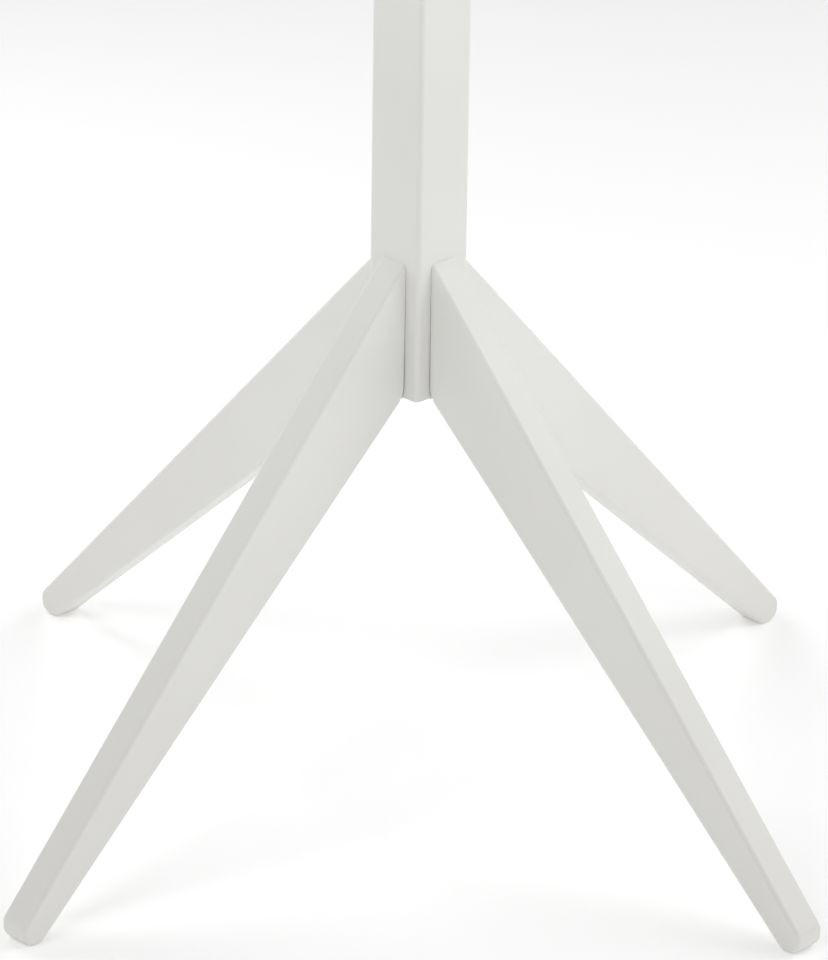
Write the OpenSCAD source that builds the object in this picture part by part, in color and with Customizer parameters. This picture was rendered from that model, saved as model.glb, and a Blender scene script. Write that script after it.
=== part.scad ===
// Standing coat rack: a square post on four flat, tapered board legs, with
// eight flat, tapered arms near the top. It packs flat: the post comes in two
// lengths, the legs slide into dovetail grooves in the post's lower end over a
// steel plate, and each arm is held by one bolt and one dowel.
//
// Millimetres. The origin is on the floor under the middle of the post, +Z is
// up, and the legs point along +X, -X, +Y and -Y.

/* [Post] */
// Width of the square post
post_side = 40; // [38:1:46]
// Radius of the post's four long edges
post_arris = 3; // [1:0.5:5]
// Height of the post's top above the floor
post_top_z = 1750; // [1650:10:1900]
// Height of the joint between the two lengths of post
post_joint_z = 990; // [700:10:1100]

/* [Legs] */
// Distance from the post's axis to the outer end of a foot
leg_reach = 312; // [280:2:340]
// Thickness of a leg board
leg_t = 20; // [18:1:22]
// Height of a leg's upper corner at the post
leg_top_z = 328; // [320:2:350]
// Height of a leg's lower corner, and of the post's lower end
leg_bottom_z = 246; // [235:1:260]
// Height of a foot's upright outer side, before rounding
foot_side = 13; // [12:0.5:18]
// Length of a foot's flat sole, before rounding
foot_sole = 13; // [12:0.5:16]
// Gap between the post and the top of a leg's shoulder
shoulder_gap = 0.1; // [0.1:0.1:1]
// How much wider that gap is at the bottom of the shoulder, where it shows as a dark line
shoulder_opens = 0.6; // [0:0.1:1]

/* [Arms] */
// Distance from the post's axis to the outer end of an arm
arm_reach = 128; // [110:2:150]
// Thickness of an arm board
arm_t = 20; // [18:1:22]
// Height of an arm's root where it meets the post
arm_root = 46; // [44:1:56]
// Rise from the bottom of an arm's root to the top of its tip
arm_rise = 132; // [116:2:150]
// Height of the root of the two highest arms
upper_arms_z = 1598; // [1500:2:1600]
// Distance from the upper four arms down to the lower four
tier_drop = 268; // [220:4:320]
// Distance from a pair of arms down to the pair at right angles to it
pair_drop = 60; // [56:1:80]

/* [Edges] */
// Radius of the eased edges of legs and arms
board_arris = 2.5; // [1:0.5:3.5]
// Radius of the post's top edge, held under the radius of its long edges
top_round = 1.5; // [0.5:0.5:3]

/* [Hidden] */

$fn = 48;
hull_fn = 32;          // facets of a circle inside a hull
edge_steps = 3;        // facets across a rounded edge
slack = 0.05;          // radial clearance of a pin, dowel or insert in its hole
past = 1;              // how far a cutting tool runs past a face

// Turns about the post's axis, one for each side of the post
RIGHT = 0;
BACK = 90;
LEFT = 180;
FRONT = 270;

paint = "whitesmoke";
steel = "silver";
brass = "goldenrod";
beech = "burlywood";

post_half = post_side / 2;
root_r = post_half + shoulder_gap;
end_ease = 0.6;        // eased edge at the post's lower end and at its joint
top_edge = min(top_round, post_arris - 0.5);

// Rounded corners of a foot
foot_toe = 6;
foot_tip = 8;
foot_heel = 5;

// Boards are shaped longer than they need to be, then sawn square at the post
saw_extra = 12;
root_flat = 3;         // length of the level underside of an arm next to the post
root_corner = board_arris + 0.1;
leg_ease = 2.5;        // how far from the post a leg's lower corner starts to turn up
leg_ease_slope = 1.9;  // steepness of that turned-up end
leg_ease_corner = 6;

// Dovetail that holds a leg in the post
tail_depth = 9;
tail_neck = 9;         // width where it leaves the post
tail_spread = 13;      // width at the bottom of the groove
tail_stop = 8;         // how far the groove stops short of the leg's upper corner
tail_slack = 0.15;
tail_bond = 0.3;       // how far the dovetail runs on into the leg's shoulder

// Steel plate under the post, and its screws
plate_t = 2.5;
plate_arm_w = 11;
plate_reach = post_half - 0.6;
leg_screw_r = post_half - 5;
leg_screw_d = 3.5;
leg_screw_len = 25;
plate_screw_d = 5;
plate_screw_len = 45;

// Joint between the two lengths of post
stud_d = 8;
stud_len = 70;
post_insert_d = 13;
post_insert_len = 25;
post_dowel_d = 8;
post_dowel_len = 40;
post_dowel_offset = 10.5;

// Arm fixings
tip_side = 10;         // height of an arm's upright outer end, before rounding
tip_top = 10;          // length of an arm's level top, before rounding
tip_corner = 4.6;
bolt_z = 20;           // bolt's axis above the bottom of the root
bolt_d = 6;
bolt_len = 20;
bolt_head_d = 10;
bolt_head_len = 6;
bolt_seat = 27.5;      // distance of the bolt head's seat from the post's axis
bolt_key = 5;
bore_slack = 0.3;      // radial clearance of a bolt in an arm
insert_d = 9;
insert_len = 13;
dowel_z = 36;          // dowel's axis above the bottom of the root
dowel_d = 6;
dowel_len = 25;
dowel_in_post = 12;

// Each arm: its side of the post and the height of its root
UPPER_ARMS = [for (turn = [FRONT, RIGHT, BACK, LEFT]) [turn, arm_height(turn, 0)]];
LOWER_ARMS = [for (turn = [FRONT, RIGHT, BACK, LEFT]) [turn, arm_height(turn, tier_drop)]];
ARMS = concat(UPPER_ARMS, LOWER_ARMS);

// The front and back arms sit lower than the left and right ones
function arm_height(turn, drop) =
    upper_arms_z - drop - ((turn == FRONT || turn == BACK) ? pair_drop : 0);

// Centre of the circle of radius r that rounds corner b between a and c
function corner_centre(a, b, c, r) =
    let (u = (a - b) / norm(a - b), v = (c - b) / norm(c - b))
    b + (u + v) / norm(u + v) * r / sin(acos(u * v) / 2);

// Height at distance r of the line from far to the point at height z and distance root_r
function height_at(r, z, far) = z + (r - root_r) * (far.y - z) / (far.x - root_r);

// The point at height z and distance root_r, moved along the line to far by saw_extra
function sawn_end(z, far) =
    [root_r - saw_extra, height_at(root_r - saw_extra, z, far)];

// Half the width of the dovetail at distance r from the post's axis
function tail_half(r) =
    tail_neck / 2 + (tail_spread - tail_neck) / 2 * (post_half - r) / tail_depth;

// How far a rounded edge is set in, and how far it drops, at each of its steps
function edge_inset(radius, i) = radius * (1 - sin(90 * i / edge_steps));
function edge_drop(radius, i) = radius * (1 - cos(90 * i / edge_steps));

// A convex board that stands in the XZ plane, centred on Y, with rounded edges.
// corners are its sharp corners as [x, z], radii their roundings. Its shoulder is
// sawn through root_r at height sawn_z, lean degrees off upright.
module board(corners, radii, thickness, sawn_z, lean) {
    n = len(corners);
    difference() {
        hull()
            for (k = [0:n - 1], i = [0:edge_steps])
                let (centre = corner_centre(corners[(k + n - 1) % n], corners[k],
                                            corners[(k + 1) % n], radii[k]),
                     width = thickness - 2 * edge_drop(board_arris, i))
                translate([centre.x, width / 2, centre.y])
                    rotate([90, 0, 0])
                        cylinder(r = radii[k] - edge_inset(board_arris, i), h = width,
                                 $fn = hull_fn);
        translate([root_r, 0, sawn_z])
            rotate([0, -lean, 0])
                translate([-2 * saw_extra, -thickness, -post_top_z])
                    cube([2 * saw_extra, 2 * thickness, 2 * post_top_z]);
    }
}

// A length of the square post with rounded long edges
module post_bar(from_z, to_z) {
    core = post_side - 2 * post_arris;
    translate([0, 0, from_z])
        linear_extrude(to_z - from_z)
            union() {
                square([post_side, core], center = true);
                square([core, post_side], center = true);
                for (x = [-core / 2, core / 2], y = [-core / 2, core / 2])
                    translate([x, y]) circle(post_arris);
            }
}

// An end of the post with its edge rounded, from z up, or down if up is false
module post_end(z, radius, up) {
    core = post_half - post_arris;
    hull()
        for (x = [-core, core], y = [-core, core], i = [0:edge_steps])
            let (height = radius - edge_inset(radius, i))
            translate([x, y, up ? z : z - height])
                cylinder(r = post_arris - edge_drop(radius, i), h = height, $fn = hull_fn);
}

// A horizontal pin along +X, between two distances from the post's axis
module pin_x(from_r, to_r, z, d) {
    translate([from_r, 0, z])
        rotate([0, 90, 0])
            cylinder(d = d, h = to_r - from_r);
}

// The dovetail, standing in the XZ plane; grow makes it the groove
module dovetail(inner_r, outer_r, bottom_z, top_z, grow) {
    translate([0, 0, bottom_z])
        linear_extrude(top_z - bottom_z)
            polygon([[inner_r, -tail_half(inner_r) - grow],
                     [outer_r, -tail_half(outer_r) - grow],
                     [outer_r, tail_half(outer_r) + grow],
                     [inner_r, tail_half(inner_r) + grow]]);
}

module post_lower() {
    color(paint)
        difference() {
            union() {
                post_end(leg_bottom_z + end_ease, end_ease, false);
                post_bar(leg_bottom_z + end_ease, post_joint_z - end_ease);
                post_end(post_joint_z - end_ease, end_ease, true);
            }
            for (turn = [RIGHT, BACK, LEFT, FRONT])
                rotate(turn)
                    dovetail(post_half - tail_depth, post_half + past,
                             leg_bottom_z - past, leg_top_z - tail_stop, tail_slack);
            translate([0, 0, leg_bottom_z - past])
                cylinder(d = plate_screw_d + 2 * slack, h = plate_screw_len + past);
            joint_holes();
        }
}

module post_upper() {
    color(paint)
        difference() {
            union() {
                post_end(post_joint_z + end_ease, end_ease, false);
                post_bar(post_joint_z + end_ease, post_top_z - top_edge);
                post_end(post_top_z - top_edge, top_edge, true);
            }
            joint_holes();
            for (arm = ARMS)
                rotate(arm[0]) {
                    pin_x(post_half - insert_len, post_half + past, arm[1] + bolt_z,
                          insert_d + 2 * slack);
                    pin_x(post_half - dowel_in_post, post_half + past, arm[1] + dowel_z,
                          dowel_d + 2 * slack);
                }
        }
}

// Holes for the stud, the inserts and the dowels where the post is joined
module joint_holes() {
    translate([0, 0, post_joint_z - stud_len / 2 - past])
        cylinder(d = stud_d + 2 * slack, h = stud_len + 2 * past);
    translate([0, 0, post_joint_z - post_insert_len])
        cylinder(d = post_insert_d + 2 * slack, h = 2 * post_insert_len);
    at_post_dowels(post_dowel_len + 2 * slack)
        cylinder(d = post_dowel_d + 2 * slack, h = post_dowel_len + 2 * slack);
}

// Places a dowel of the given length in two opposite corners of the joint
module at_post_dowels(length) {
    for (turn = [45, 225])
        rotate(turn)
            translate([post_dowel_offset * sqrt(2), 0, post_joint_z - length / 2])
                children();
}

module leg(turn) {
    toe = [leg_reach, foot_side];
    heel = [leg_reach - foot_sole, 0];
    ease = [root_r + leg_ease, height_at(root_r + leg_ease, leg_bottom_z, heel)];
    corners = [sawn_end(leg_top_z, toe), toe, [leg_reach, 0], heel, ease,
               [root_r - saw_extra, ease.y + leg_ease_slope * (leg_ease + saw_extra)]];
    radii = [root_corner, foot_toe, foot_tip, foot_heel, leg_ease_corner, root_corner];
    color(paint)
        rotate(turn)
            difference() {
                union() {
                    board(corners, radii, leg_t, leg_top_z,
                          atan(shoulder_opens / (leg_top_z - leg_bottom_z)));
                    dovetail(post_half - tail_depth + tail_slack, root_r + shoulder_opens + tail_bond,
                             leg_bottom_z, leg_top_z - tail_stop - tail_slack, 0);
                }
                translate([leg_screw_r, 0, leg_bottom_z - past])
                    cylinder(d = leg_screw_d + 2 * slack, h = leg_screw_len + past);
            }
}

module arm(turn, root_z) {
    tip = [arm_reach - tip_top, root_z + arm_rise];
    corners = [[root_r - saw_extra, root_z], [root_r + root_flat, root_z],
               [arm_reach, root_z + arm_rise - tip_side], [arm_reach, root_z + arm_rise], tip,
               sawn_end(root_z + arm_root, tip)];
    radii = [root_corner, root_corner, tip_corner, tip_corner, tip_corner, root_corner];
    color(paint)
        rotate(turn)
            difference() {
                board(corners, radii, arm_t, root_z, 0);
                pin_x(root_r - past, bolt_seat + past, root_z + bolt_z, bolt_d + 2 * bore_slack);
                pin_x(bolt_seat, arm_reach, root_z + bolt_z, bolt_head_d + 2 * bore_slack);
                pin_x(root_r - past, post_half - dowel_in_post + dowel_len + past,
                      root_z + dowel_z, dowel_d + 2 * slack);
            }
}

// A countersunk screw that points up from z, with a cross recess in its head
module countersunk_screw(z, d, length) {
    head_h = plate_t * 0.8;
    difference() {
        union() {
            translate([0, 0, z]) cylinder(d1 = 2 * d, d2 = d, h = head_h);
            translate([0, 0, z]) cylinder(d = d, h = length - d / 2);
            translate([0, 0, z + length - d / 2]) cylinder(d1 = d, d2 = d / 4, h = d / 2);
        }
        for (turn = [0, 90])
            translate([0, 0, z])
                rotate(turn)
                    cube([d, d / 5, d / 2], center = true);
    }
}

// Countersunk hole for that screw
module countersunk_hole(z, d) {
    head_h = plate_t * 0.8;
    translate([0, 0, z - slack])
        cylinder(d1 = 2 * d + 4 * slack, d2 = d + 2 * slack, h = head_h + 2 * slack);
    translate([0, 0, z]) cylinder(d = d + 2 * slack, h = plate_t + past);
}

module leg_plate() {
    plate_z = leg_bottom_z - plate_t;
    color(steel)
        difference() {
            translate([0, 0, plate_z])
                linear_extrude(plate_t)
                    for (turn = [0, 90])
                        rotate(turn) {
                            square([2 * plate_reach - plate_arm_w, plate_arm_w], center = true);
                            for (x = [-1, 1])
                                translate([x * (plate_reach - plate_arm_w / 2), 0])
                                    circle(d = plate_arm_w);
                        }
            countersunk_hole(plate_z, plate_screw_d);
            for (turn = [RIGHT, BACK, LEFT, FRONT])
                rotate(turn)
                    translate([leg_screw_r, 0, 0])
                        countersunk_hole(plate_z, leg_screw_d);
        }
}

module leg_plate_screw() {
    color(steel)
        countersunk_screw(leg_bottom_z - plate_t, plate_screw_d, plate_screw_len);
}

module leg_screws() {
    color(steel)
        for (turn = [RIGHT, BACK, LEFT, FRONT])
            rotate(turn)
                translate([leg_screw_r, 0, 0])
                    countersunk_screw(leg_bottom_z - plate_t, leg_screw_d, leg_screw_len);
}

module post_stud() {
    color(steel)
        translate([0, 0, post_joint_z - stud_len / 2])
            cylinder(d = stud_d, h = stud_len);
}

// A threaded insert that starts at z
module post_insert(z) {
    color(brass)
        translate([0, 0, z])
            difference() {
                cylinder(d = post_insert_d, h = post_insert_len);
                translate([0, 0, -past])
                    cylinder(d = stud_d + 2 * slack, h = post_insert_len + 2 * past);
            }
}

module post_dowels() {
    color(beech)
        at_post_dowels(post_dowel_len)
            cylinder(d = post_dowel_d, h = post_dowel_len);
}

module arm_bolts() {
    color(steel)
        for (arm = ARMS)
            rotate(arm[0])
                difference() {
                    union() {
                        pin_x(bolt_seat - bolt_len, bolt_seat, arm[1] + bolt_z, bolt_d);
                        pin_x(bolt_seat, bolt_seat + bolt_head_len, arm[1] + bolt_z, bolt_head_d);
                    }
                    translate([bolt_seat + bolt_head_len / 2, 0, arm[1] + bolt_z])
                        rotate([0, 90, 0])
                            cylinder(d = bolt_key / cos(30), h = bolt_head_len, $fn = 6);
                }
}

module arm_inserts() {
    color(brass)
        for (arm = ARMS)
            rotate(arm[0])
                difference() {
                    pin_x(post_half - insert_len, post_half, arm[1] + bolt_z, insert_d);
                    pin_x(post_half - insert_len - past, post_half + past, arm[1] + bolt_z,
                          bolt_d + 2 * slack);
                }
}

module arm_dowels() {
    color(beech)
        for (arm = ARMS)
            rotate(arm[0])
                pin_x(post_half - dowel_in_post, post_half - dowel_in_post + dowel_len,
                      arm[1] + dowel_z, dowel_d);
}

post_lower();
post_upper();
leg(FRONT);  // leg_front
leg(RIGHT);  // leg_right
leg(BACK);  // leg_back
leg(LEFT);  // leg_left
arm(FRONT, arm_height(FRONT, 0));  // arm_upper_front
arm(RIGHT, arm_height(RIGHT, 0));  // arm_upper_right
arm(BACK, arm_height(BACK, 0));  // arm_upper_back
arm(LEFT, arm_height(LEFT, 0));  // arm_upper_left
arm(FRONT, arm_height(FRONT, tier_drop));  // arm_lower_front
arm(RIGHT, arm_height(RIGHT, tier_drop));  // arm_lower_right
arm(BACK, arm_height(BACK, tier_drop));  // arm_lower_back
arm(LEFT, arm_height(LEFT, tier_drop));  // arm_lower_left
leg_plate();
leg_plate_screw();
leg_screws();
post_stud();
post_insert(post_joint_z - post_insert_len);  // post_insert_lower
post_insert(post_joint_z);  // post_insert_upper
post_dowels();
arm_bolts();
arm_inserts();
arm_dowels();
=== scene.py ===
"""Looks of the standing coat rack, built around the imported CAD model.

Every board and length of post is rebuilt with fine rounded edges on the shape of
its CAD node, and takes its bores from the CAD fasteners that sit in them. Every
fastener is rebuilt on the axis of its CAD solid. The steel plate keeps its CAD
mesh. Metres.
"""
import math

import bmesh
import bpy
from mathutils import Matrix, Vector


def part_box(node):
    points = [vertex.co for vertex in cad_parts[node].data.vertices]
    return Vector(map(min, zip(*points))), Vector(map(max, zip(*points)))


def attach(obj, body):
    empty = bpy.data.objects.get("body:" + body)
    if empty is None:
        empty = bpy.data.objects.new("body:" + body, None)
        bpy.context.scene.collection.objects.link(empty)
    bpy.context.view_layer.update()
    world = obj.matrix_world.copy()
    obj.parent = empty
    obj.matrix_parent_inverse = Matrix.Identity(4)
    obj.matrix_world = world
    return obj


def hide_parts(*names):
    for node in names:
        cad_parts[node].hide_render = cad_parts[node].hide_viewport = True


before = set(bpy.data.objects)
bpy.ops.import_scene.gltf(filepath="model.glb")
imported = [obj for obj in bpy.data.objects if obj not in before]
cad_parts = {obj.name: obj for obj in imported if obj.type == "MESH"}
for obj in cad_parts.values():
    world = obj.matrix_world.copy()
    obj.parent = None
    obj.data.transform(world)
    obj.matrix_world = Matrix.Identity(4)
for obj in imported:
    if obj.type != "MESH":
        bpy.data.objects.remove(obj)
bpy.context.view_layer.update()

MM = 0.001
UP = 2

# Corners this close are joined, smaller angles count as 0, and outlines are rounded to the micrometre
WELD = 1e-6
LEAST_ANGLE = 1e-6
OUTLINE_DIGITS = 6

# Turn about the post's axis of each side of the rack
SIDES = {"right": 0, "back": 90, "left": 180, "front": 270}

# Rounded edges, as in the CAD model
POST_ARRIS = 3 * MM
BOARD_ARRIS = 2.5 * MM
POST_TOP_EDGE = 1.5 * MM
POST_END_EASE = 0.6 * MM
ARRIS_STEPS = 8
END_STEPS = 6

# Shading: an edge that turns more than this stays sharp, and large faces weigh fully
SHARP_ANGLE = math.radians(32)
FULL_WEIGHT = 100

# Boards: an outline's near-straight corners, its flat side's rim, and its sawn shoulder
STRAIGHT = 0.003 * MM
RIM_SLACK = 0.2 * MM
SAW_EXTRA = 12 * MM
SHOULDER_LEAN = 1 * MM

# Dovetails
TAIL_DEPTH = 9 * MM
TAIL_NECK = 9 * MM
TAIL_SPREAD = 13 * MM
TAIL_SLACK = 0.15 * MM

# Bores
PAST_FACE = 1 * MM
COUNTERBORE_REACH = 40 * MM
HOLE_SLACK = 0.05 * MM
BOLT_SLACK = 0.3 * MM
LEG_SCREW_R = 1.75 * MM
POST_SCREW_R = 2.5 * MM

# Fasteners
SEGMENTS = 48
THREAD_STEPS = 6

STUD_PITCH = 1.25 * MM
STUD_THREAD = 0.65 * MM
STUD_CHAMFER = 0.9 * MM

BOLT_HEAD_LENGTH = 6 * MM
BOLT_SHANK_R = 3 * MM
BOLT_PITCH = 1 * MM
BOLT_THREAD = 0.5 * MM
BOLT_CHAMFER = 0.7 * MM
BOLT_KEY = 5 * MM
KEY_LEAD_IN = 0.15 * MM
KNURL_DEPTH = 0.15 * MM
HEAD_SEAT_EDGE = 0.3 * MM
HEAD_TOP_EDGE = 0.6 * MM

SCREW_HEAD_LENGTH = 2 * MM
SCREW_RIM = 0.1 * MM

# A wood screw's thread and tip, as shares of its shank's radius, the slope of its point, and
# the floor of its recess as a share of the recess's mouth
SCREW_PITCH = 0.9
SCREW_ROOT = 0.68
SCREW_TIP = 0.25
SCREW_POINT_SLOPE = 0.75
RECESS_FLOOR = 0.6

INSERT_THREAD = 0.9 * MM
INSERT_CHAMFER = 0.7 * MM
INSERT_INNER_THREAD = 0.2 * MM
STUD_BORE_R = 4.05 * MM
STUD_INSERT_PITCH = 2.5 * MM
BOLT_BORE_R = 3.05 * MM
BOLT_INSERT_PITCH = 2 * MM

DOWEL_CHAMFER = 1 * MM
FLUTE_DEPTH = 0.3 * MM

# Wood grain: how far from each end of a board its direction is taken, the lean under which a
# piece counts as upright, each piece's shift, and the first seeds of the legs and the arms
ROOT_ZONE = 3 * MM
TIP_ZONE = 12 * MM
UPRIGHT_LEAN = 0.01
GRAIN_SHIFT = (3.1, 1.7, 0.9)
LEG_SEED = 3
ARM_SEED = 7

# Finishes. A bump is its strength and its depth.
LACQUER = (0.803, 0.80, 0.775, 1)
LACQUER_THIN = (0.778, 0.775, 0.745, 1)
# Painted shade: the lacquer's colour fades to this darker tone towards the floor, below this height
PAINTED_FLOOR_SHADE = (0.740, 0.733, 0.706, 1)
PAINTED_SHADE_HEIGHT = 0.28
LACQUER_ROUGHNESS = (0.40, 0.48)
LACQUER_SPECULAR = 0.4
GRAIN_STREAKS = (6, 260, 260)
GRAIN_BUMP = (0.25, 0.05 * MM)
CLOUD_SCALE = 9.0
PEEL_SCALE = 900.0
PEEL_BUMP = (0.25, 0.02 * MM)
ZINC = (0.62, 0.63, 0.65, 1)
ZINC_ROUGHNESS = 0.36
BRASS = (0.78, 0.6, 0.28, 1)
BRASS_ROUGHNESS = 0.3
METAL_SCRATCHES = (300, 300, 2400)
METAL_SPOTS = 700.0
METAL_SHADE = 0.82
METAL_ROUGHNESS_SPREAD = 0.07
METAL_BUMP = (0.3, 0.02 * MM)
BEECH = (0.62, 0.42, 0.25, 1)
BEECH_DARK = (0.5, 0.31, 0.17, 1)
BEECH_FLECKS = (900, 900, 300)
BEECH_BUMP = (0.4, 0.05 * MM)
BEECH_ROUGHNESS = 0.75

# Where most of a noise texture's values lie, and a little wider
NOISE_MIDDLE = (0.35, 0.65)
NOISE_WIDE = (0.3, 0.7)

# Stage
FLOOR_HALF = 40.0
FLOOR_TONES = ((0.93, 0.93, 0.93, 1), (0.95, 0.95, 0.95, 1))
FLOOR_CLOUDS = 3.0
FLOOR_ROUGHNESS = 0.9
FLOOR_GLOW = 0.163
SKY = 0.28

CAMERA_AT = (2.3081, -2.3534, 1.6516)
CAMERA_HEADING = 44.454
CAMERA_PITCH = 23.969
CAMERA_ROLL = 0.850
CAMERA_LENS = 235.48
CAMERA_SENSOR = 36
CAMERA_REACH = 120

# Soft boxes: angle seen from above (0 toward the camera, 90 the picture's right), distance and
# height of its middle, width, height of the point it faces, watts
SOFT_BOXES = {
    "key_left_front": (315, 2.2, 2.4, 1.8, 0.25, 25.5),
    "low_right_front": (45, 2.6, 0.9, 1.6, 0.25, 13.7),
    "near_right": (90, 1.3, 1.2, 1.0, 0.5, 7.7),
    "right_back": (135, 2.6, 1.9, 1.8, 0.6, 18.1),
    "near_left_back": (225, 1.3, 1.2, 1.0, 0.5, 8.5),
    "low_left": (270, 2.6, 0.9, 1.6, 0.25, 7.4),
}


# ---------------------------------------------------------------- geometry

def turned(point, angle):
    """A point turned about the Z axis by an angle in degrees."""
    return Matrix.Rotation(math.radians(angle), 3, "Z") @ Vector(point)


def quarter_turn(steps):
    """Angles from 0 to a quarter of a turn."""
    return [math.radians(90 * i / steps) for i in range(steps + 1)]


def convex_outline(points):
    """The convex hull of 2-D points, anticlockwise, without its near-straight corners."""
    rounded = set((round(x, OUTLINE_DIGITS), round(y, OUTLINE_DIGITS)) for x, y in points)
    points = [Vector(p) for p in sorted(rounded)]

    def nearly_straight(a, b, c):
        return (b - a).cross(c - a) < STRAIGHT * (c - a).length

    def half(sequence):
        chain = []
        for p in sequence:
            while len(chain) > 1 and nearly_straight(chain[-2], chain[-1], p):
                chain.pop()
            chain.append(p)
        return chain[:-1]

    return half(points) + half(points[::-1])


def mitres(outline):
    """For each corner of an anticlockwise outline, the outward vector that moves both its edges by 1."""
    result = []
    for i, here in enumerate(outline):
        before = (here - outline[i - 1]).normalized()
        after = (outline[(i + 1) % len(outline)] - here).normalized()
        normal = (Vector((before.y, -before.x)) + Vector((after.y, -after.x))).normalized()
        result.append(normal / normal.dot(Vector((after.y, -after.x))))
    return result


def mesh_object(name, bm):
    mesh = bpy.data.meshes.new(name)
    bmesh.ops.recalc_face_normals(bm, faces=bm.faces)
    bm.to_mesh(mesh)
    bm.free()
    piece = bpy.data.objects.new(name, mesh)
    bpy.context.scene.collection.objects.link(piece)
    return piece


def skin(bm, rings, tube=False):
    """Joins closed rings of points with quads, and closes both ends, or joins them if it is a tube."""
    loops = [[bm.verts.new(p) for p in ring] for ring in rings]
    n = len(loops[0])
    for a, b in zip(loops, loops[1:] + (loops[:1] if tube else [])):
        for i in range(n):
            bm.faces.new((a[i], a[(i + 1) % n], b[(i + 1) % n], b[i]))
    if not tube:
        bm.faces.new(loops[0][::-1])
        bm.faces.new(loops[-1])


def rounded_board(name, outline, half_depth):
    """A board across Y between -half_depth and half_depth, with its outline's edges rounded."""
    out = mitres(outline)
    profile = [(-half_depth + BOARD_ARRIS * (1 - math.sin(t)), BOARD_ARRIS * (1 - math.cos(t)))
               for t in reversed(quarter_turn(ARRIS_STEPS))]
    profile += [(-depth, inset) for depth, inset in reversed(profile)]
    rings = []
    for depth, inset in profile:
        corners = [p - m * inset for p, m in zip(outline, out)]
        rings.append([Vector((p.x, -depth, p.y)) for p in corners])
    bm = bmesh.new()
    skin(bm, rings)
    return mesh_object(name, bm)


def cylinder(start, end, radius):
    """A closed cylinder between two points, as a cutter."""
    bm = bmesh.new()
    axis = Vector(end) - Vector(start)
    bmesh.ops.create_cone(bm, cap_ends=True, segments=SEGMENTS, radius1=radius, radius2=radius,
                          depth=axis.length)
    turn = Vector((0, 0, 1)).rotation_difference(axis).to_matrix().to_4x4()
    bm.transform(Matrix.Translation((Vector(start) + Vector(end)) / 2) @ turn)
    return mesh_object("cutter", bm)


def boolean(piece, operation, tools):
    """Applies the tools to the piece, one after another, and removes them."""
    for tool in tools:
        modifier = piece.modifiers.new(operation, "BOOLEAN")
        modifier.operation = operation
        modifier.solver = "EXACT"
        modifier.object = tool
    bpy.context.view_layer.update()
    evaluated = piece.evaluated_get(bpy.context.evaluated_depsgraph_get())
    mesh = bpy.data.meshes.new_from_object(evaluated)
    mesh.name = piece.name
    piece.modifiers.clear()
    piece.data = mesh
    for tool in tools:
        bpy.data.objects.remove(tool)


def islands(node):
    """The lowest and highest corner of each separate solid of a CAD node, sorted, so that every
    run joins and cuts them in the same order."""
    bm = bmesh.new()
    bm.from_mesh(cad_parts[node].data)
    bmesh.ops.remove_doubles(bm, verts=bm.verts, dist=WELD)
    unseen = set(bm.verts)
    boxes = []
    while unseen:
        stack = [unseen.pop()]
        found = []
        while stack:
            v = stack.pop()
            found.append(v.co.copy())
            for e in v.link_edges:
                other = e.other_vert(v)
                if other in unseen:
                    unseen.remove(other)
                    stack.append(other)
        low = Vector([min(c[k] for c in found) for k in range(3)])
        high = Vector([max(c[k] for c in found) for k in range(3)])
        boxes.append((low, high))
    bm.free()
    return sorted(boxes, key=lambda box: tuple(box[0]))


def bore(box, slack, axis, low_extra=0.0, high_extra=0.0, radius=None):
    """A cutter around the round solid in a box, lengthened at its ends."""
    low, high = box
    size = high - low
    middle = (low + high) / 2
    start, end = middle.copy(), middle.copy()
    start[axis] = low[axis] - low_extra
    end[axis] = high[axis] + high_extra
    return cylinder(start, end, (radius or size[(axis + 1) % 3] / 2) + slack)


def finish_mesh(piece):
    """Smooth shading that breaks at sharp edges and stays flat on flat faces."""
    bm = bmesh.new()
    bm.from_mesh(piece.data)
    bmesh.ops.remove_doubles(bm, verts=bm.verts, dist=WELD)
    for face in bm.faces:
        face.smooth = True
    for edge in bm.edges:
        edge.smooth = len(edge.link_faces) == 2 and edge.calc_face_angle(0) < SHARP_ANGLE
    bm.to_mesh(piece.data)
    bm.free()
    weights = piece.modifiers.new("flat_faces_stay_flat", "WEIGHTED_NORMAL")
    weights.keep_sharp = True
    weights.weight = FULL_WEIGHT


# ----------------------------------------------------------- wooden pieces

post_low, post_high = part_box("post_lower")
post_half = post_high.x


def distance_out(point, side):
    """How far a point is from the post's axis, toward one side of the rack."""
    return turned(point, -SIDES[side]).x


def tail_top(side):
    """The highest point of a leg's dovetail tongue."""
    return max(v.co.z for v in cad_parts["leg_" + side].data.vertices
               if distance_out(v.co, side) < post_half)


def board_outline(node, side):
    """The outline of a CAD board seen from its wide side, as (distance from the axis, height),
    and half its thickness."""
    points = [turned(v.co, -SIDES[side]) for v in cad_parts[node].data.vertices]
    half = max(p.y for p in points)
    rim = half - BOARD_ARRIS - RIM_SLACK
    return convex_outline([(p.x, p.z) for p in points if p.y > rim]), half


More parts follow.
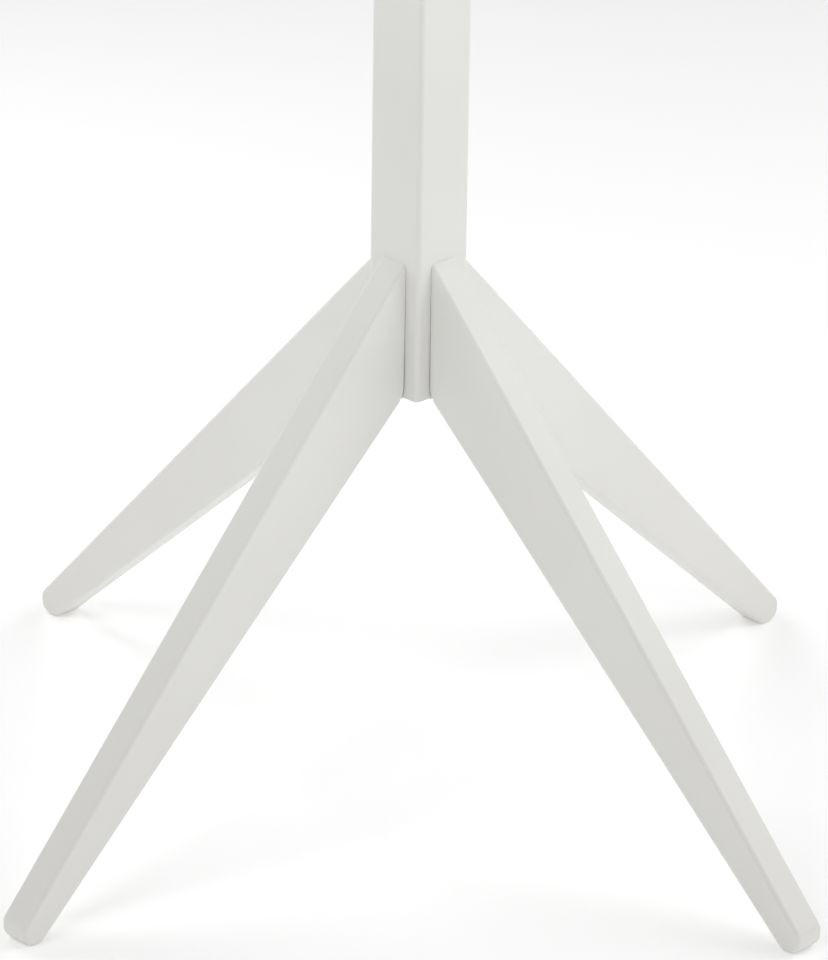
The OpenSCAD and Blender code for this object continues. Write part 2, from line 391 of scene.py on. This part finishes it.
def board(node, side):
    """A leg or arm: its outline runs on into the post, and is then sawn off along its shoulder."""
    outline, half = board_outline(node, side)
    low_r = min(p.x for p in outline)
    longer = []
    sawn = []
    for i, p in enumerate(outline):
        if p.x < low_r + SHOULDER_LEAN:
            sawn.append(p)
            outer = max(outline[i - 1], outline[(i + 1) % len(outline)], key=lambda q: q.x)
            longer.append(p + (p - outer) * (SAW_EXTRA / (outer.x - p.x)))
        else:
            longer.append(p)
    upper, lower = max(sawn, key=lambda q: q.y), min(sawn, key=lambda q: q.y)
    name = node.replace("arm", "coat_arm").replace("leg", "tapered_leg")
    piece = rounded_board(name, longer, half)
    bm = bmesh.new()
    bm.from_mesh(piece.data)
    cut = bmesh.ops.bisect_plane(bm, geom=bm.verts[:] + bm.edges[:] + bm.faces[:],
                                 plane_co=(upper.x, 0, upper.y),
                                 plane_no=(upper.y - lower.y, 0, lower.x - upper.x), clear_inner=True)
    rim = [e for e in cut["geom_cut"] if isinstance(e, bmesh.types.BMEdge)]
    bmesh.ops.contextual_create(bm, geom=rim)
    bm.transform(Matrix.Rotation(math.radians(SIDES[side]), 4, "Z"))
    bmesh.ops.recalc_face_normals(bm, faces=bm.faces)
    bm.to_mesh(piece.data)
    bm.free()
    return piece


def dovetail(side, inner, outer, bottom, top, grow):
    """A dovetail prism on one side of the post."""
    def half(r):
        return grow + TAIL_NECK / 2 + (TAIL_SPREAD - TAIL_NECK) / 2 * (post_half - r) / TAIL_DEPTH

    corners = [(inner, -half(inner)), (outer, -half(outer)), (outer, half(outer)), (inner, half(inner))]
    bm = bmesh.new()
    skin(bm, [[turned((x, y, z), SIDES[side]) for x, y in corners] for z in (bottom, top)])
    return mesh_object("dovetail", bm)


def leg(side):
    piece = board("leg_" + side, side)
    inner = post_half - TAIL_DEPTH + TAIL_SLACK
    shoulder = min(distance_out(v.co, side) for v in piece.data.vertices)
    tongue = dovetail(side, inner, shoulder + 2 * SHOULDER_LEAN, post_low.z, tail_top(side), 0)
    boolean(piece, "UNION", [tongue])
    screws = [b for b in islands("leg_screws") if distance_out((b[0] + b[1]) / 2, side) > post_half / 2]
    boolean(piece, "DIFFERENCE", [bore(b, HOLE_SLACK, UP, radius=LEG_SCREW_R) for b in screws])
    return piece


def arm(node, side):
    piece = board(node, side)
    low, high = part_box(node)

    def here(b):
        middle = (b[0] + b[1]) / 2
        return distance_out(middle, side) > post_half / 2 and low.z < middle.z < high.z

    axis = 0 if side in ("left", "right") else 1
    outward = side in ("right", "back")
    cutters = []
    for b in filter(here, islands("arm_bolts")):
        head = (b[0].copy(), b[1].copy())
        if outward:
            head[0][axis] = head[1][axis] - BOLT_HEAD_LENGTH
        else:
            head[1][axis] = head[0][axis] + BOLT_HEAD_LENGTH
        reach = (0, COUNTERBORE_REACH) if outward else (COUNTERBORE_REACH, 0)
        cutters.append(bore(head, BOLT_SLACK, axis, *reach))
        cutters.append(bore(b, BOLT_SLACK, axis, radius=BOLT_SHANK_R))
    for b in filter(here, islands("arm_dowels")):
        cutters.append(bore(b, HOLE_SLACK, axis, PAST_FACE, PAST_FACE))
    boolean(piece, "DIFFERENCE", cutters)
    return piece


def post_bar(name, node, bottom_edge, top_edge):
    """A length of the post: a rounded square with eased ends."""
    low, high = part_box(node)
    core = post_half - POST_ARRIS

    def ring(z, inset):
        points = []
        for k, (sx, sy) in enumerate(((1, 1), (-1, 1), (-1, -1), (1, -1))):
            for t in quarter_turn(ARRIS_STEPS):
                a = t + k * math.pi / 2
                points.append((sx * core + (POST_ARRIS - inset) * math.cos(a),
                               sy * core + (POST_ARRIS - inset) * math.sin(a), z))
        return points

    steps = quarter_turn(END_STEPS)
    rings = [ring(low.z + bottom_edge * (1 - math.sin(t)), bottom_edge * (1 - math.cos(t)))
             for t in reversed(steps)]
    rings += [ring(high.z - top_edge * (1 - math.sin(t)), top_edge * (1 - math.cos(t))) for t in steps]
    bm = bmesh.new()
    skin(bm, rings)
    return mesh_object(name, bm)


def round_axis(box):
    """The horizontal axis that a fastener in the post's side lies along."""
    middle = (box[0] + box[1]) / 2
    return 0 if abs(middle.x) > abs(middle.y) else 1


def past_the_face(box):
    """How far a cutter runs past a fastener's low and high ends to clear the post's face."""
    middle = (box[0] + box[1]) / 2
    return (PAST_FACE, 0) if middle[round_axis(box)] < 0 else (0, PAST_FACE)


def joint_bores(half):
    """Cutters for one length of the post, run past the joint's face."""
    ends = (0, PAST_FACE) if half == "lower" else (PAST_FACE, 0)
    cutters = [bore(b, HOLE_SLACK, UP, PAST_FACE, PAST_FACE) for b in islands("post_stud")]
    cutters += [bore(b, HOLE_SLACK, UP, *ends) for b in islands("post_insert_" + half)]
    cutters += [bore(b, HOLE_SLACK, UP) for b in islands("post_dowels")]
    return cutters


def lower_post():
    piece = post_bar("square_post_lower", "post_lower", POST_END_EASE, POST_END_EASE)
    inner, outer, bottom = post_half - TAIL_DEPTH, post_half + PAST_FACE, post_low.z - PAST_FACE
    cutters = [dovetail(s, inner, outer, bottom, tail_top(s) + TAIL_SLACK, TAIL_SLACK) for s in SIDES]
    cutters += [bore(b, HOLE_SLACK, UP, radius=POST_SCREW_R) for b in islands("leg_plate_screw")]
    cutters += joint_bores("lower")
    boolean(piece, "DIFFERENCE", cutters)
    return piece


def upper_post():
    piece = post_bar("square_post_upper", "post_upper", POST_END_EASE, POST_TOP_EDGE)
    cutters = joint_bores("upper")
    for node in ("arm_inserts", "arm_dowels"):
        cutters += [bore(b, HOLE_SLACK, round_axis(b), *past_the_face(b)) for b in islands(node)]
    boolean(piece, "DIFFERENCE", cutters)
    return piece


# --------------------------------------------------------------- fasteners

def along_axis(box, axis):
    """The ends of a fastener's axis, and its radius. It starts at the post's middle, or at the bottom."""
    low, high = box
    start, end = (low + high) / 2, (low + high) / 2
    start[axis], end[axis] = low[axis], high[axis]
    if axis != UP and abs(start[axis]) > abs(end[axis]):
        start, end = end, start
    return start, end, (high - low)[(axis + 1) % 3] / 2


def round_part(bm, start, end, profile, tube=False):
    """Skins rings round the line from start to end. The profile lists each ring's distance along it
    and its radius, which is a number or a function of the angle."""
    axis = (end - start).normalized()
    across = axis.orthogonal().normalized()
    other = axis.cross(across)
    angles = [2 * math.pi * i / SEGMENTS for i in range(SEGMENTS)]
    rings = []
    for along, radius in profile:
        centre = start + along * axis
        rings.append([centre + (radius(a) if callable(radius) else radius)
                      * (math.cos(a) * across + math.sin(a) * other) for a in angles])
    skin(bm, rings, tube)


def chamfered(crest, depth, length=math.inf):
    """The radius that a chamfer at the start allows, and one at the end if the length is given."""
    def limit(d):
        return crest - depth + min(d, length - d, depth)
    return limit


def thread(start, end, pitch, crest, root, limit=None):
    """Rings of a right-hand thread between two distances, held within a radius that limit gives."""
    def turn_at(d):
        def radius(angle):
            phase = (d / pitch - angle / (2 * math.pi)) % 1
            height = root + (crest - root) * (1 - abs(2 * phase - 1))
            return height if limit is None else min(limit(d), height)
        return radius

    count = max(1, round(abs(end - start) / pitch * THREAD_STEPS))
    distances = [start + (end - start) * i / count for i in range(count + 1)]
    return [(d, turn_at(d)) for d in distances]


def hexagon(across_flats):
    """Radius of a hexagon at an angle."""
    def radius(angle):
        return across_flats / 2 / math.cos((math.degrees(angle) + 30) % 60 * math.pi / 180 - math.pi / 6)
    return radius


def cross(reach, half_width, scale=1.0):
    """Radius of a four-pointed recess at an angle."""
    def radius(angle):
        off = (angle + math.pi / 4) % (math.pi / 2) - math.pi / 4
        wide = half_width / abs(math.sin(off)) if abs(off) > LEAST_ANGLE else reach
        return scale * min(reach / math.cos(off), wide)
    return radius


def ribbed(radius, depth, period):
    """Radius of a cylinder with a groove at every so many segments."""
    def grooved(angle):
        return radius - (depth if round(angle / (2 * math.pi) * SEGMENTS) % period == 0 else 0)
    return grooved


def stud_profile(length, r):
    return thread(0, length, STUD_PITCH, r, r - STUD_THREAD, chamfered(r, STUD_CHAMFER, length))


def bolt_profile(length, r):
    """A socket-head bolt that starts at its tip."""
    seat = length - BOLT_HEAD_LENGTH
    shank = thread(0, seat, BOLT_PITCH, BOLT_SHANK_R, BOLT_SHANK_R - BOLT_THREAD,
                   chamfered(BOLT_SHANK_R, BOLT_CHAMFER))
    knurl = ribbed(r, KNURL_DEPTH, 2)
    socket = hexagon(BOLT_KEY)
    return shank + [(seat, r - HEAD_SEAT_EDGE), (seat + HEAD_SEAT_EDGE, knurl),
                    (length - HEAD_TOP_EDGE, knurl), (length, r - HEAD_TOP_EDGE),
                    (length, BOLT_KEY / 2 / math.cos(math.pi / 6) + KEY_LEAD_IN),
                    (length - KEY_LEAD_IN, socket), (length - BOLT_HEAD_LENGTH / 2, socket)]


def screw_profile(length, head_r):
    """A countersunk wood screw that starts at its head and ends in a blunt point."""
    r = head_r / 2
    reach, half_width = r, r / 5

    def limit(d):
        return min(r, SCREW_TIP * r + SCREW_POINT_SLOPE * (length - d))

    head = [(r / 2, cross(reach, half_width, RECESS_FLOOR)), (0, cross(reach, half_width)),
            (0, head_r - SCREW_RIM), (SCREW_RIM, head_r - SCREW_RIM),
            (SCREW_HEAD_LENGTH, r), (SCREW_HEAD_LENGTH + r, r)]
    first = SCREW_HEAD_LENGTH + r + SCREW_RIM
    return head + thread(first, length, SCREW_PITCH * r, r, SCREW_ROOT * r, limit)


def insert_profile(bore_r, pitch):
    """A threaded insert: coarse thread outside, fine thread inside."""
    def profile(length, r):
        outside = thread(0, length, pitch, r, r - INSERT_THREAD, chamfered(r, INSERT_CHAMFER, length))
        inside = thread(length, 0, pitch / 2, bore_r + INSERT_INNER_THREAD, bore_r)
        return outside + inside
    return profile


def dowel_profile(length, r):
    flutes = ribbed(r, FLUTE_DEPTH, 3)
    return [(0, r - DOWEL_CHAMFER), (DOWEL_CHAMFER, flutes),
            (length - DOWEL_CHAMFER, flutes), (length, r - DOWEL_CHAMFER)]


# --------------------------------------------------------------- materials

def nodes_of(name):
    material = bpy.data.materials.new(name)
    material.use_nodes = True
    tree = material.node_tree
    return material, tree, tree.nodes["Principled BSDF"]


def object_place(tree):
    return tree.nodes.new("ShaderNodeTexCoord").outputs["Object"]


def noise(tree, vector, scale, detail=3.0, roughness=0.5):
    node = tree.nodes.new("ShaderNodeTexNoise")
    node.inputs["Scale"].default_value = scale
    node.inputs["Detail"].default_value = detail
    node.inputs["Roughness"].default_value = roughness
    tree.links.new(vector, node.inputs["Vector"])
    return node.outputs["Fac"]


def scaled(tree, vector, factors):
    node = tree.nodes.new("ShaderNodeVectorMath")
    node.operation = "MULTIPLY"
    node.inputs[1].default_value = factors
    tree.links.new(vector, node.inputs[0])
    return node.outputs["Vector"]


def remap(tree, value, low, high, to_low, to_high):
    node = tree.nodes.new("ShaderNodeMapRange")
    tree.links.new(value, node.inputs["Value"])
    for socket, number in zip(("From Min", "From Max", "To Min", "To Max"), (low, high, to_low, to_high)):
        node.inputs[socket].default_value = number
    return node.outputs["Result"]


def blend(tree, factor, a, b):
    node = tree.nodes.new("ShaderNodeMix")
    node.data_type = "RGBA"
    for socket, value in (("Factor", factor), ("A", a), ("B", b)):
        socket = [s for s in node.inputs if s.name == socket and (s.type == "RGBA" or socket == "Factor")][0]
        if isinstance(value, (tuple, float)):
            socket.default_value = value
        else:
            tree.links.new(value, socket)
    return [s for s in node.outputs if s.type == "RGBA"][0]


def bump(tree, height, strength, distance, normal=None):
    node = tree.nodes.new("ShaderNodeBump")
    node.inputs["Strength"].default_value = strength
    node.inputs["Distance"].default_value = distance
    tree.links.new(height, node.inputs["Height"])
    if normal is not None:
        tree.links.new(normal, node.inputs["Normal"])
    return node.outputs["Normal"]


def lacquer():
    """White satin lacquer over wood, with the faint long grain that shows through it, and painted shade that
    darkens it towards the floor.
    """
    material, tree, shader = nodes_of("white_satin_lacquer")
    grain = tree.nodes.new("ShaderNodeAttribute")
    grain.attribute_name = "grain"
    along = grain.outputs["Vector"]
    streaks = noise(tree, scaled(tree, along, GRAIN_STREAKS), 1.0, detail=4.0, roughness=0.6)
    clouds = noise(tree, along, CLOUD_SCALE, detail=2.0)
    peel = noise(tree, along, PEEL_SCALE, detail=2.0)
    colour = blend(tree, remap(tree, clouds, *NOISE_MIDDLE, 0.0, 1.0), LACQUER, LACQUER_THIN)
    height = tree.nodes.new("ShaderNodeSeparateXYZ")
    tree.links.new(object_place(tree), height.inputs["Vector"])
    # Painted shade: the lacquer darkens towards the floor, fully at the floor and not at all from the height
    # set above
    painted_shade_mask = remap(tree, height.outputs["Z"], 0.0, PAINTED_SHADE_HEIGHT, 1.0, 0.0)
    tree.links.new(blend(tree, painted_shade_mask, colour, PAINTED_FLOOR_SHADE), shader.inputs["Base Color"])
    tree.links.new(remap(tree, clouds, *NOISE_WIDE, *LACQUER_ROUGHNESS), shader.inputs["Roughness"])
    normal = bump(tree, streaks, *GRAIN_BUMP)
    normal = bump(tree, peel, *PEEL_BUMP, normal)
    tree.links.new(normal, shader.inputs["Normal"])
    shader.inputs["Specular IOR Level"].default_value = LACQUER_SPECULAR
    return material


def metal(name, colour, roughness):
    """Plated or turned metal with fine scratches and uneven shine."""
    material, tree, shader = nodes_of(name)
    place = object_place(tree)
    scratches = noise(tree, scaled(tree, place, METAL_SCRATCHES), 1.0)
    spots = noise(tree, place, METAL_SPOTS, detail=2.0)
    rough = remap(tree, spots, *NOISE_WIDE, roughness - METAL_ROUGHNESS_SPREAD,
                  roughness + METAL_ROUGHNESS_SPREAD)
    tree.links.new(rough, shader.inputs["Roughness"])
    darker = tuple(METAL_SHADE * c for c in colour[:3]) + (1,)
    tone = blend(tree, remap(tree, spots, *NOISE_MIDDLE, 0.0, 1.0), colour, darker)
    tree.links.new(tone, shader.inputs["Base Color"])
    tree.links.new(bump(tree, scratches, *METAL_BUMP), shader.inputs["Normal"])
    shader.inputs["Metallic"].default_value = 1.0
    return material


def beech():
    """Bare wood with short dark flecks."""
    material, tree, shader = nodes_of("unfinished_beech")
    stretched = scaled(tree, object_place(tree), BEECH_FLECKS)
    flecks = noise(tree, stretched, 1.0, detail=4.0, roughness=0.6)
    tone = blend(tree, remap(tree, flecks, *NOISE_MIDDLE, 0.0, 1.0), BEECH, BEECH_DARK)
    tree.links.new(tone, shader.inputs["Base Color"])
    tree.links.new(bump(tree, flecks, *BEECH_BUMP), shader.inputs["Normal"])
    shader.inputs["Roughness"].default_value = BEECH_ROUGHNESS
    return material


def mark_grain(piece, direction, seed):
    """Stores at each vertex where it is in the wood: along the grain, then across it twice."""
    long_axis = Vector(direction).normalized()
    thin_axis = long_axis.cross(Vector((0, 0, 1)))
    thin_axis = thin_axis.normalized() if thin_axis.length > UPRIGHT_LEAN else Vector((1, 0, 0))
    wide_axis = long_axis.cross(thin_axis)
    shift = Vector([seed * s for s in GRAIN_SHIFT])
    attribute = piece.data.attributes.new("grain", "FLOAT_VECTOR", "POINT")
    for i, v in enumerate(piece.data.vertices):
        place = Vector((v.co.dot(long_axis), v.co.dot(wide_axis), v.co.dot(thin_axis)))
        attribute.data[i].vector = place + shift


def long_direction(node, side):
    """Direction of a board from the post to its outer end."""
    outline, _ = board_outline(node, side)
    root = [p for p in outline if p.x < min(q.x for q in outline) + ROOT_ZONE]
    tip = [p for p in outline if p.x > max(q.x for q in outline) - TIP_ZONE]
    along = sum(tip, Vector((0, 0))) / len(tip) - sum(root, Vector((0, 0))) / len(root)
    return turned((along.x, 0, along.y), SIDES[side])


# ---------------------------------------------------------------- assembly

paint = lacquer()
zinc = metal("zinc_plated_steel", ZINC, ZINC_ROUGHNESS)
brass = metal("turned_brass", BRASS, BRASS_ROUGHNESS)
dowel_wood = beech()


def install(piece, node, material):
    """Gives a finished piece its material, and puts it in its CAD node's place."""
    piece.data.materials.clear()
    piece.data.materials.append(material)
    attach(piece, "root")
    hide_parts(node)


def wooden(piece, node, direction, seed):
    finish_mesh(piece)
    mark_grain(piece, direction, seed)
    install(piece, node, paint)


def fitting(name, node, profile, material, axis=None, tube=False):
    """One piece for all the round fasteners of a CAD node. Without an axis they lie level."""
    bm = bmesh.new()
    for b in islands(node):
        start, end, r = along_axis(b, round_axis(b) if axis is None else axis)
        round_part(bm, start, end, profile((end - start).length, r), tube)
    piece = mesh_object(name, bm)
    finish_mesh(piece)
    install(piece, node, material)


wooden(lower_post(), "post_lower", (0, 0, 1), 1)
wooden(upper_post(), "post_upper", (0, 0, 1), 2)
for i, side in enumerate(SIDES):
    node = "leg_" + side
    wooden(leg(side), node, long_direction(node, side), LEG_SEED + i)
    for j, tier in enumerate(("upper", "lower")):
        node = "arm_" + tier + "_" + side
        seed = ARM_SEED + 2 * i + j
        wooden(arm(node, side), node, long_direction(node, side), seed)

fitting("joint_stud", "post_stud", stud_profile, zinc, UP)
fitting("socket_bolts", "arm_bolts", bolt_profile, zinc)
fitting("plate_screw", "leg_plate_screw", screw_profile, zinc, UP)
fitting("plate_leg_screws", "leg_screws", screw_profile, zinc, UP)
for half in ("lower", "upper"):
    fitting("joint_insert_" + half, "post_insert_" + half, insert_profile(STUD_BORE_R, STUD_INSERT_PITCH),
            brass, UP, True)
fitting("bolt_inserts", "arm_inserts", insert_profile(BOLT_BORE_R, BOLT_INSERT_PITCH),
        brass, None, True)
fitting("joint_dowels", "post_dowels", dowel_profile, dowel_wood, UP)
fitting("fluted_arm_dowels", "arm_dowels", dowel_profile, dowel_wood)

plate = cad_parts["leg_plate"].data.materials
plate.clear()
plate.append(zinc)


# ------------------------------------------------------------------- stage

def floor():
    """A pale matt floor that glows a little, so that it shows white without burning out the rack."""
    bm = bmesh.new()
    bmesh.ops.create_grid(bm, x_segments=1, y_segments=1, size=FLOOR_HALF)
    piece = mesh_object("studio_floor", bm)
    material, tree, shader = nodes_of("pale_floor")
    tone = blend(tree, noise(tree, object_place(tree), FLOOR_CLOUDS), *FLOOR_TONES)
    tree.links.new(tone, shader.inputs["Base Color"])
    shader.inputs["Roughness"].default_value = FLOOR_ROUGHNESS
    shader.inputs["Specular IOR Level"].default_value = 0.0
    shader.inputs["Emission Color"].default_value = (1, 1, 1, 1)
    shader.inputs["Emission Strength"].default_value = FLOOR_GLOW
    piece.data.materials.append(material)


def studio_light():
    for name, (angle, distance, height, width, aim, power) in SOFT_BOXES.items():
        light = bpy.data.lights.new(name, "AREA")
        light.shape = "RECTANGLE"
        light.size = light.size_y = width
        light.energy = power
        lamp = bpy.data.objects.new(name, light)
        lamp.location = turned((distance, 0, height), CAMERA_HEADING - 90 + angle)
        lamp.rotation_euler = (Vector((0, 0, aim)) - lamp.location).to_track_quat("-Z", "Y").to_euler()
        bpy.context.scene.collection.objects.link(lamp)
    world = bpy.data.worlds.new("studio")
    bpy.context.scene.world = world
    world.use_nodes = True
    world.node_tree.nodes["Background"].inputs["Color"].default_value = (1, 1, 1, 1)
    world.node_tree.nodes["Background"].inputs["Strength"].default_value = SKY


def camera():
    data = bpy.data.cameras.new("camera")
    data.lens = CAMERA_LENS
    data.sensor_width = CAMERA_SENSOR
    data.clip_end = CAMERA_REACH
    view = bpy.data.objects.new("camera", data)
    view.matrix_world = (Matrix.Translation(CAMERA_AT)
                         @ Matrix.Rotation(math.radians(CAMERA_HEADING), 4, "Z")
                         @ Matrix.Rotation(math.radians(90 - CAMERA_PITCH), 4, "X")
                         @ Matrix.Rotation(math.radians(CAMERA_ROLL), 4, "Z"))
    bpy.context.scene.collection.objects.link(view)
    bpy.context.scene.camera = view


floor()
studio_light()
camera()
bpy.context.scene.view_settings.view_transform = "Standard"
